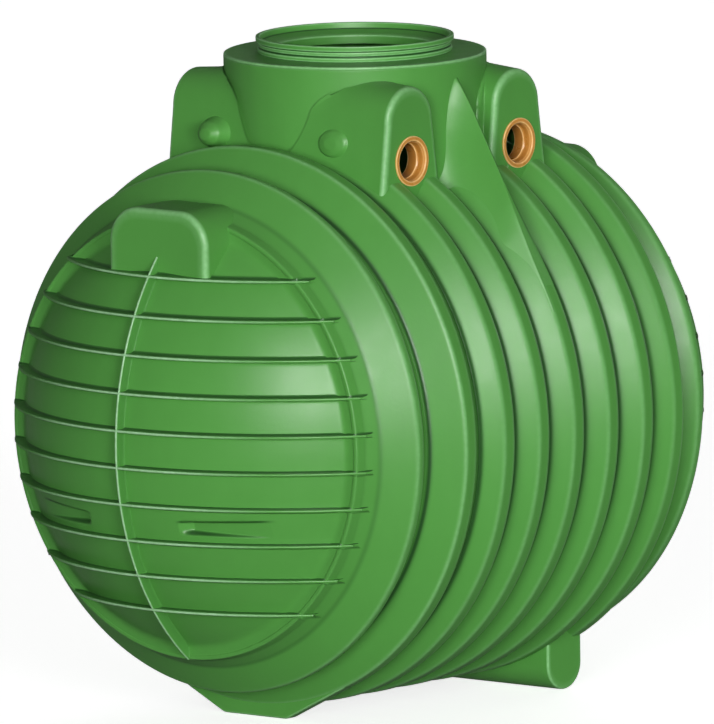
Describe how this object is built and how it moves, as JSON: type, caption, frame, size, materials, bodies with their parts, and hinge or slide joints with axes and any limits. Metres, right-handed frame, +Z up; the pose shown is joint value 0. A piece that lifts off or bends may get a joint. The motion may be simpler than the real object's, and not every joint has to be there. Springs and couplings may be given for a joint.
{
  "type": "underground rainwater tank",
  "caption": "Ribbed plastic tank for rainwater in the ground, lying cylinder with domed finned ends, an open neck with a beaded collar and pipe lugs with seals.",
  "frame": {"origin": "on the floor, under the middle of the neck, at the height of the feet's underside", "axes": "+Z up through the neck; the tank lies along Y and the pictured dome faces -Y; +X is the side with the pipe seals that show"},
  "size_m": [1.688, 2.2412, 1.978],
  "materials": {
    "ribbed_shell": "satin",
    "dome": "satin",
    "dome_fins": "satin",
    "inlet_pad": "satin",
    "neck": "satin",
    "feet": "satin",
    "pipe_seal": "satin"
  },
  "bodies": {
    "root": {"front_dome": "dome", "rear_dome": "dome", "front_fins": "dome_fins", "rear_fins": "dome_fins", "front_rim": "ribbed_shell", "rear_rim": "ribbed_shell", "front_inlet_pad": "inlet_pad", "rear_inlet_pad": "inlet_pad", "front_grip_right": "dome", "front_grip_left": "dome", "rear_grip_right": "dome", "rear_grip_left": "dome", "ring_1": "ribbed_shell", "ring_2": "ribbed_shell", "ring_3": "ribbed_shell", "ring_4": "ribbed_shell", "ring_5": "ribbed_shell", "ring_6": "ribbed_shell", "ring_7": "ribbed_shell", "neck_wall": "neck", "neck_shoulder": "neck", "neck_collar": "neck", "lug_front_right": "neck", "lug_front_left": "neck", "lug_rear_right": "neck", "lug_rear_left": "neck", "knob_front_right": "neck", "knob_front_left": "neck", "knob_rear_right": "neck", "knob_rear_left": "neck", "pipe_seal_front_right": "pipe_seal", "pipe_seal_front_left": "pipe_seal", "pipe_seal_rear_right": "pipe_seal", "pipe_seal_rear_left": "pipe_seal", "neck_web_right": "neck", "neck_web_left": "neck", "front_foot": "feet", "rear_foot": "feet"}
  },
  "joints": []
}
